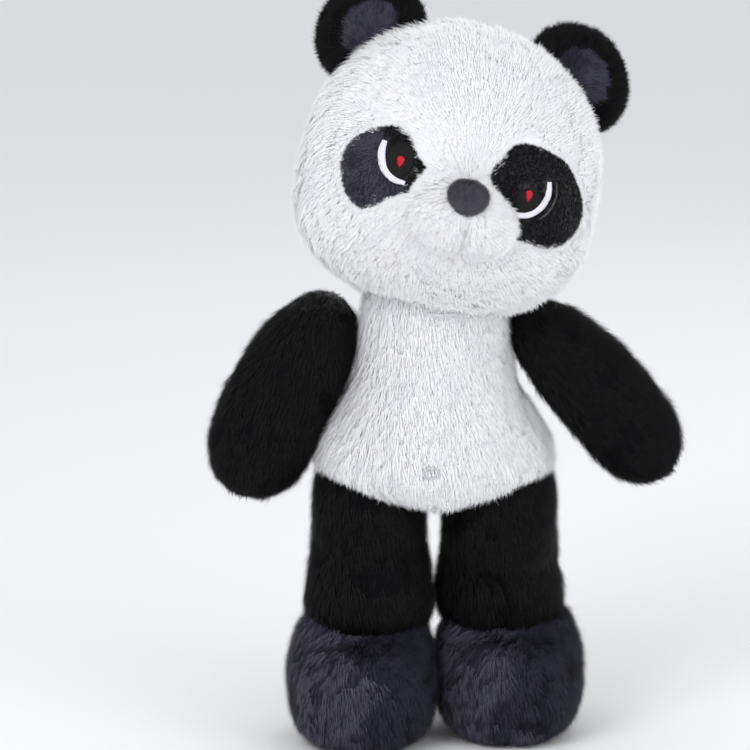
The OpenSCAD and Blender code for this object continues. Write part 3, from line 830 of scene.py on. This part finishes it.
def clear_of_nose(p):
    local = INTO_HEAD @ p
    if local.y > -74:
        return 0
    near = (((local.x - NOSE_AT.x) / 12) ** 2 + ((local.z - NOSE_AT.z) / 10) ** 2) < 1
    return 0 if near else 1


piles["muzzle_pile"] = grow("muzzle_pile", muzzle_skin, WHITE_TUFTS, away_from_nose, seed=30, keep=clear_of_nose,
                            length=7, per_mm2=0.45, long=lambda p: 0.8)


def painted_sheen_side(p):
    """Painted sheen: the outer side of the right patch, where the black pile catches the light, gets grey pile."""
    local = INTO_HEAD @ p + Vector((0, 0, FACE_DROP))
    inner = (local.x > -58 and local.z > 2) or math.hypot((local.x + 42) / 15.5, (local.z + 3) / 18) < 1
    return float(local.x < 0 and not inner)


piles["nose_pile"] = grow("nose_pile", nose_skin, NOSE_TUFTS, lambda p: Vector((0, 0, -1)), seed=31, length=2.4,
                          per_mm2=1.6, lie=0.5, streak=90)
for name, side in SIDES.items():
    def outward(p, name=name):
        local = INTO_HEAD @ p
        return HEAD.to_3x3() @ Vector((local.x - PATCH_MIDDLE[name][0], 0, local.z + FACE_DROP - PATCH_MIDDLE[name][1] - 10))

    def off_stitches(p, name=name):
        local = INTO_HEAD @ p + Vector((2.6 if name == "left" else 0, 0, FACE_DROP))
        line = smooth_rows([(x, z, 0) for x, z in CRESCENT[name][0]], 6)
        if np.hypot(line[:, 0] - local.x, line[:, 1] - local.z).min() < 2.0:
            return 0
        ix, iz = GLINT_AT[name]
        return float(((local.x - ix - (1.5 if name == "left" else -1)) / 9) ** 2 + ((local.z - iz + 1) / 10) ** 2 > 1)
    piles[f"eye_patch_{name}_pile"] = grow(f"eye_patch_{name}_pile", patch_skin[name], PATCH_TUFTS, outward,
                                           seed=32 + side, length=2.3, per_mm2=1.1, lie=0.8, streak=30,
                                           keep=lambda p: off_stitches(p) * (1 - painted_sheen_side(p)))

    # Painted sheen: grey pile on the outer side of the right patch stands for light on the black plush.
    if name == "right":
        piles["eye_patch_right_grey_pile"] = grow(
            "eye_patch_right_grey_pile", patch_skin[name], GREY_TUFTS, outward, seed=39, length=2.3, per_mm2=1.1,
            lie=0.8, keep=lambda p: off_stitches(p) * painted_sheen_side(p))

    def ear_comb(p, side=side):
        local = ear_place(side).inverted() @ p
        return ear_place(side).to_3x3() @ Vector((local.x, 0, local.z + 6))

    def ear_dish(p, side=side):
        local = ear_place(side).inverted() @ p
        return float(not (local.y < 2 and math.hypot(local.x / 23, (local.z - 8) / 19) < 0.9) and local.z > -9)
    piles[f"ear_{name}_pile"] = grow(f"ear_{name}_pile", ear_skin[name], BLACK_TUFTS, ear_comb, seed=40 + side,
                                     length=7, per_mm2=0.5, keep=ear_dish)
    piles[f"ear_{name}_inner_pile"] = grow(f"ear_{name}_inner_pile", ear_inner[name], GREY_TUFTS, ear_comb,
                                           seed=44 + side, length=5, per_mm2=0.8, lie=0.5)


def painted_shade_split(p, half, place):
    """Painted shade: the nap runs two ways, so one half of a foot is lit and the other painted dark, soft-edged."""
    local = place.inverted() @ p
    drift = noise.noise(p * 0.035) * 26
    blotch = noise.noise(p * 0.06 + Vector((7, 3, 1))) * 0.5
    dark = min(1, max(0, 0.5 + (local.x + min(drift, 14)) / 9 * (0.35 if local.y > 0 else 1) + blotch))
    return dark if half == "dusk" else 1 - dark


def down_body(p):
    return Vector((0, 0, -1)) + (p - MIDDLE - Vector((0, 0, 190))).normalized() * 0.15


def torso_keep(part):
    def keep(p):
        rel = p - MIDDLE
        if rel.z > 300 or (rel.z < 184 and math.hypot(rel.x / 64, rel.y / 53) < 1):
            return 0
        return float((rel.y < 0) == (part == 0))
    return keep


for part, name in enumerate(("front", "back")):
    piles[f"torso_pile_{name}"] = grow(f"torso_pile_{name}", torso_skin, WHITE_TUFTS, down_body, seed=50 + part,
                                       keep=torso_keep(part))
for name, side in SIDES.items():
    way = (Vector(ARM[name]["tip"]) - Vector(ARM[name]["top"])).normalized()
    piles[f"arm_{name}_pile"] = grow(f"arm_{name}_pile", arm_skin[name], BLACK_TUFTS, lambda p, way=way: way,
                                     seed=60 + side, length=8, long=lambda p: 0.5 if p.z > 286 else 1)
    hip_at = leg_place(side).translation

    def leg_keep(p, side=side):
        local = leg_place(side).inverted() @ p
        return float(local.z > -86)
    piles[f"leg_{name}_pile"] = grow(f"leg_{name}_pile", leg_skin[name], BLACK_TUFTS, lambda p: Vector((0, 0, -1)),
                                     seed=64 + side, length=8, keep=leg_keep)

    def foot_keep(p, side=side):
        local = foot_place(side).inverted() @ p
        if local.z < 1.5 or (local.z > 60 and math.hypot(local.x / 33, (local.y - 12) / 32) < 1):
            return 0
        return 1

    def foot_comb(p, side=side):
        local = foot_place(side).inverted() @ p
        return Vector((local.x * 0.012, -0.35, -1))

    def foot_length(p):
        return 0.55 + 0.5 * min(1, p.z / 14)
    # The dusk half is painted shade: darker pile where the nap would look dark under the light.
    for half, tufts in (("light", GREY_TUFTS), ("dusk", PAINTED_SHADE_TUFTS)):
        piles[f"foot_{name}_pile_{half}"] = grow(
            f"foot_{name}_pile_{half}", foot_skin[name], tufts, foot_comb, seed=68 + side + 5 * len(half),
            length=7.6, long=foot_length, ruffle=0.22, streak=55, lowest=0.4,
            keep=lambda p: foot_keep(p) * painted_shade_split(p, half, foot_place(side)))
print("pile triangles:", sum(PILE_TRIANGLES.values()), PILE_TRIANGLES)

# %% [markdown]
# ## Navel
# A tiny ring of thread is stitched low on the belly, where a bought toy often hides its tag stitch.

# %% Navel ring
ring = bmesh.new()
bmesh.ops.create_circle(ring, segments=12, radius=0.9, cap_ends=False)
bmesh.ops.transform(ring, matrix=Matrix.Translation((4.2, 0, 0)), verts=ring.verts)
bmesh.ops.rotate(ring, verts=ring.verts, cent=(4.2, 0, 0), matrix=Matrix.Rotation(math.pi / 2, 3, "X"))
bmesh.ops.spin(ring, geom=ring.verts[:] + ring.edges[:], cent=(0, 0, 0), axis=(0, 0, 1), angle=2 * math.pi,
               steps=32, use_merge=True)
bmesh.ops.scale(ring, vec=(1.2, 0.8, 1), verts=ring.verts)
navel = finish_piece("navel_ring", ring, Matrix.Translation(MIDDLE + Vector((-3, -66.5, 190))) @ turn(82, "X"),
                     satin("navel_thread", (0.45, 0.45, 0.50), (0.62, 0.62, 0.66)))
seam = bmesh.new()
bmesh.ops.create_circle(seam, segments=10, radius=1.2, cap_ends=False)
bmesh.ops.transform(seam, matrix=Matrix.Translation((47.5, 0, 0)), verts=seam.verts)
bmesh.ops.rotate(seam, verts=seam.verts, cent=(47.5, 0, 0), matrix=Matrix.Rotation(math.pi / 2, 3, "X"))
bmesh.ops.spin(seam, geom=seam.verts[:] + seam.edges[:], cent=(0, 0, 0), axis=(0, 0, 1), angle=2 * math.pi,
               steps=64, use_merge=True)
neck_seam = finish_piece("neck_seam_thread", seam, Matrix.Translation(MIDDLE + Vector((0, 0, 290))) @ Matrix.Diagonal((0.97, 0.90, 1, 1)), WHITE_THREAD)
print("stitches made")

# %% [markdown]
# ## Joining the pieces to the bodies
# Each piece rides on the body it is sewn to and stands in for the plain
# solids of that part, which are hidden.

# %% Ride and replace
def wear(pieces, body, nodes=()):
    for piece in pieces:
        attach(piece, body)
    if nodes:
        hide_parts(*nodes)


wear([head_skin] + [piles[f"head_pile_{q}"] for q in ("front_right", "front_left", "back_right", "back_left")],
     "head", ("head_front", "head_back", "head_stuffing"))
wear([muzzle_skin, piles["muzzle_pile"]], "head", ("muzzle",))
wear([nose_skin, piles["nose_pile"]], "head", ("nose",))
wear([torso_skin, piles["torso_pile_front"], piles["torso_pile_back"]], "torso",
     ("torso_front", "torso_back", "torso_stuffing"))
wear([navel], "torso", ("navel_stitching",))
wear([neck_seam], "neck", ("neck_stitching",))
for name in SIDES:
    more = [piles["eye_patch_right_grey_pile"]] if name == "right" else []
    wear([patch_skin[name], piles[f"eye_patch_{name}_pile"]] + more, "head", (f"eye_patch_{name}",))
    wear([ear_skin[name], piles[f"ear_{name}_pile"]], f"ear_{name}",
         (f"ear_back_{name}", f"ear_stuffing_{name}"))
    wear([ear_inner[name], piles[f"ear_{name}_inner_pile"]], f"ear_{name}", (f"ear_front_{name}",))
    wear([arm_skin[name], piles[f"arm_{name}_pile"]], f"arm_{name}",
         (f"arm_front_{name}", f"arm_back_{name}", f"arm_stuffing_{name}"))
    wear([leg_skin[name], piles[f"leg_{name}_pile"]], f"leg_{name}",
         (f"leg_outer_{name}", f"leg_inner_{name}", f"leg_stuffing_{name}"))
    wear([foot_skin[name], piles[f"foot_{name}_pile_light"], piles[f"foot_{name}_pile_dusk"]], f"foot_{name}",
         (f"foot_outer_{name}", f"foot_inner_{name}", f"sole_{name}", f"foot_stuffing_{name}"))
for piece in eyes:
    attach(piece, "head")
    for name in SIDES:
        if piece.name == f"eye_white_{name}_stitch":
            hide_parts(f"eye_white_{name}")
        if piece.name == f"iris_{name}_stitch":
            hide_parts(f"iris_{name}")
        if piece.name == f"eye_glint_{name}_stitch":
            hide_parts(f"eye_glint_{name}")
